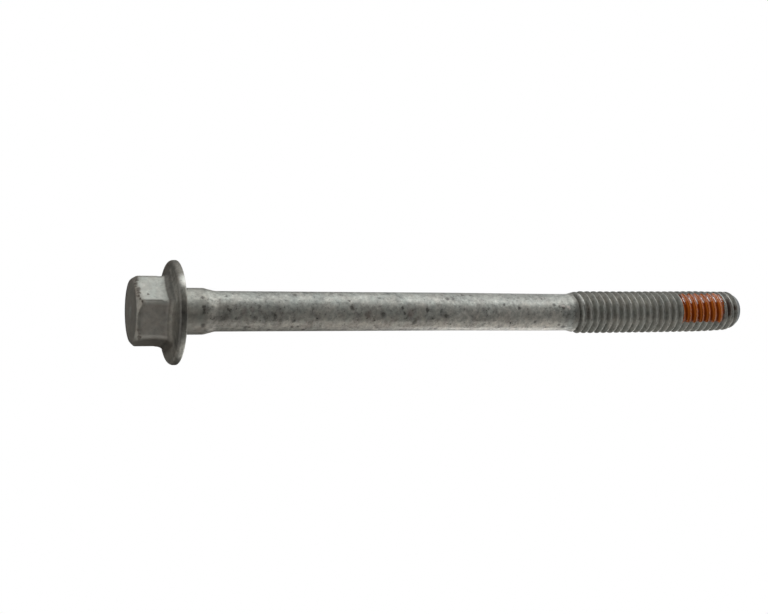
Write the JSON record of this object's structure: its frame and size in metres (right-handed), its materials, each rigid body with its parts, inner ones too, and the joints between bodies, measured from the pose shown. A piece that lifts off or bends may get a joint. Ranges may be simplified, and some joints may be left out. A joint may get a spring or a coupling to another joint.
{
  "type": "cylinder head bolt",
  "caption": "Long hexagon flange bolt for an engine's cylinder head: collar under the flange, plain shank, coarse thread with a band of dried locking adhesive.",
  "frame": {"origin": "centre of the bearing face under the flange, on the bolt's axis", "axes": "+Z along the shank to the point, two flats of the hexagon facing +Y and -Y; the bolt stands on its head"},
  "size_m": [0.0242, 0.0242, 0.1655],
  "materials": {
    "coated_steel": "matt grey metal-flake coating, handled and lightly pitted",
    "locking_adhesive": "glossy translucent orange-brown resin"
  },
  "bodies": {
    "root": {"bolt": "coated_steel", "locking_patch": "locking_adhesive"}
  },
  "joints": []
}
